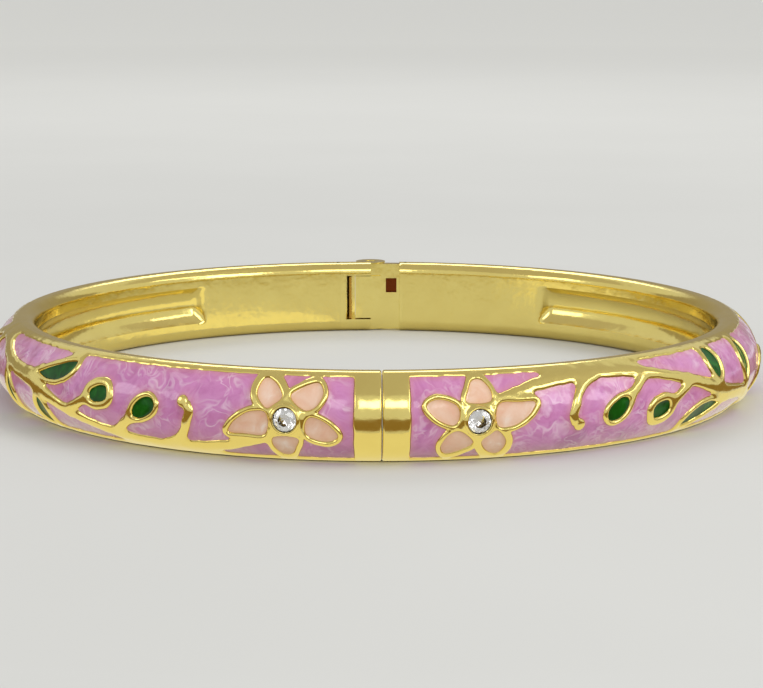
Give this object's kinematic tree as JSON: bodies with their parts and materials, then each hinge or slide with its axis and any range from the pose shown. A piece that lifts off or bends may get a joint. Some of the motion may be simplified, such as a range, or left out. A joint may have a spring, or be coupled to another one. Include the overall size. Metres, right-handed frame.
{
  "type": "hinged bangle",
  "caption": "Round bangle of two hinged half bands, with raised gold flowers and vine, enamel between the lines and clear stones in collars.",
  "frame": {"origin": "middle of the wrist opening, on the surface that the bangle lies on", "axes": "+Z along the band's axis and up, -Y towards the front where the halves meet, +Y towards the hinge"},
  "size_m": [0.068, 0.068, 0.007],
  "materials": {
    "gold_plate": "polished pale yellow gold plate",
    "pin_metal": "polished",
    "spring_metal": "dull, darker gold",
    "lilac_enamel": "glossy pearly enamel",
    "peach_enamel": "glossy enamel",
    "green_enamel": "glossy dark enamel",
    "crystal": "clear cut stone"
  },
  "bodies": {
    "root": {"left_band": "gold_plate", "hinge_pin": "pin_metal", "hinge_spring": "spring_metal", "left_ground": "lilac_enamel", "left_front_stone": "crystal", "left_back_stone": "crystal", "left_front_petal_1": "peach_enamel", "left_front_petal_2": "peach_enamel", "left_front_petal_3": "peach_enamel", "left_front_petal_4": "peach_enamel", "left_front_petal_5": "peach_enamel", "left_back_petal_1": "peach_enamel", "left_back_petal_2": "peach_enamel", "left_back_petal_3": "peach_enamel", "left_back_petal_4": "peach_enamel", "left_back_petal_5": "peach_enamel", "left_front_leaf_1": "green_enamel", "left_front_leaf_2": "green_enamel", "left_front_leaf_3": "green_enamel", "left_front_leaf_4": "green_enamel", "left_front_leaf_5": "green_enamel", "left_front_leaf_6": "green_enamel", "left_back_leaf_1": "green_enamel", "left_back_leaf_2": "green_enamel", "left_back_leaf_3": "green_enamel", "left_back_leaf_4": "green_enamel", "left_back_leaf_5": "green_enamel", "left_back_leaf_6": "green_enamel"},
    "right_half": {"right_band": "gold_plate", "right_ground": "lilac_enamel", "right_front_stone": "crystal", "right_back_stone": "crystal", "right_front_petal_1": "peach_enamel", "right_front_petal_2": "peach_enamel", "right_front_petal_3": "peach_enamel", "right_front_petal_4": "peach_enamel", "right_front_petal_5": "peach_enamel", "right_back_petal_1": "peach_enamel", "right_back_petal_2": "peach_enamel", "right_back_petal_3": "peach_enamel", "right_back_petal_4": "peach_enamel", "right_back_petal_5": "peach_enamel", "right_front_leaf_1": "green_enamel", "right_front_leaf_2": "green_enamel", "right_front_leaf_3": "green_enamel", "right_front_leaf_4": "green_enamel", "right_front_leaf_5": "green_enamel", "right_front_leaf_6": "green_enamel", "right_back_leaf_1": "green_enamel", "right_back_leaf_2": "green_enamel", "right_back_leaf_3": "green_enamel", "right_back_leaf_4": "green_enamel", "right_back_leaf_5": "green_enamel", "right_back_leaf_6": "green_enamel"}
  },
  "joints": [
    {"name": "hinge", "type": "hinge", "parent": "root", "child": "right_half", "pos_m": [-0.0001, 0.03245, 0.0035], "axis": [0, 0, 1], "range_deg": [0, 60], "stiffness_Nm_per_rad": 0.01, "springref_deg": -17.19}
  ]
}
